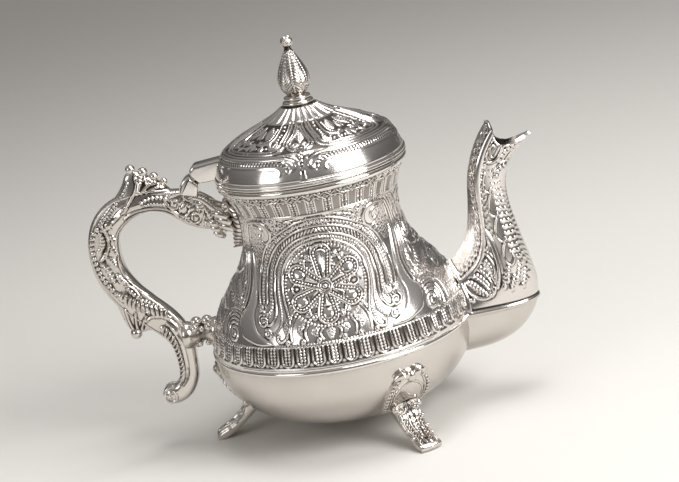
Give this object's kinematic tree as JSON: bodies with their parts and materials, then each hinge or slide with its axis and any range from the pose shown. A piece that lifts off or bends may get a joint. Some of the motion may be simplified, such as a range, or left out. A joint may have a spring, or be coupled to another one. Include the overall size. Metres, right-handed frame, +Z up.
{
  "type": "silver teapot",
  "caption": "Pear-shaped embossed silver-plated teapot with a hinged domed lid, beak spout, scroll handle and splayed feet; pours hot tea.",
  "frame": {"origin": "on the surface the feet stand on, at the middle of the pot's outline in plan, from the handle's back to the spout's lip", "axes": "+X towards the spout's lip, +Y to the left side seen from the handle, +Z up"},
  "size_m": [0.1879, 0.11, 0.1639],
  "materials": {
    "relief_plate": "silver-plated relief, polished high spots and dark recesses",
    "plain_plate": "silver plate, satin polish",
    "polished_trim": "silver plate, mirror polish",
    "cast_scroll": "silver-plated casting with dark recesses",
    "steel_fixing": "bare steel"
  },
  "bodies": {
    "pot": {"upper_body": "relief_plate", "lower_bowl": "plain_plate", "seam_ring": "polished_trim", "neck_rim": "polished_trim", "spout_upper": "relief_plate", "spout_belly": "plain_plate", "handle": "cast_scroll", "handle_upper_plate": "cast_scroll", "handle_lower_bracket": "cast_scroll", "handle_screws": "steel_fixing", "hinge_lug": "polished_trim", "foot_rear": "cast_scroll", "foot_front_right": "cast_scroll", "foot_front_left": "cast_scroll"},
    "lid": {"lid_dome": "relief_plate", "lid_flange": "polished_trim", "lid_sleeve": "plain_plate", "lid_arm": "polished_trim", "hinge_pin": "steel_fixing", "knob_collar": "cast_scroll", "knob": "cast_scroll", "knob_washer": "steel_fixing", "knob_screw": "steel_fixing"}
  },
  "joints": [
    {"name": "lid_hinge", "type": "hinge", "parent": "pot", "child": "lid", "pos_m": [-0.04225, 0, 0.1159], "axis": [0, -1, 0], "range_deg": [0, 95]}
  ]
}
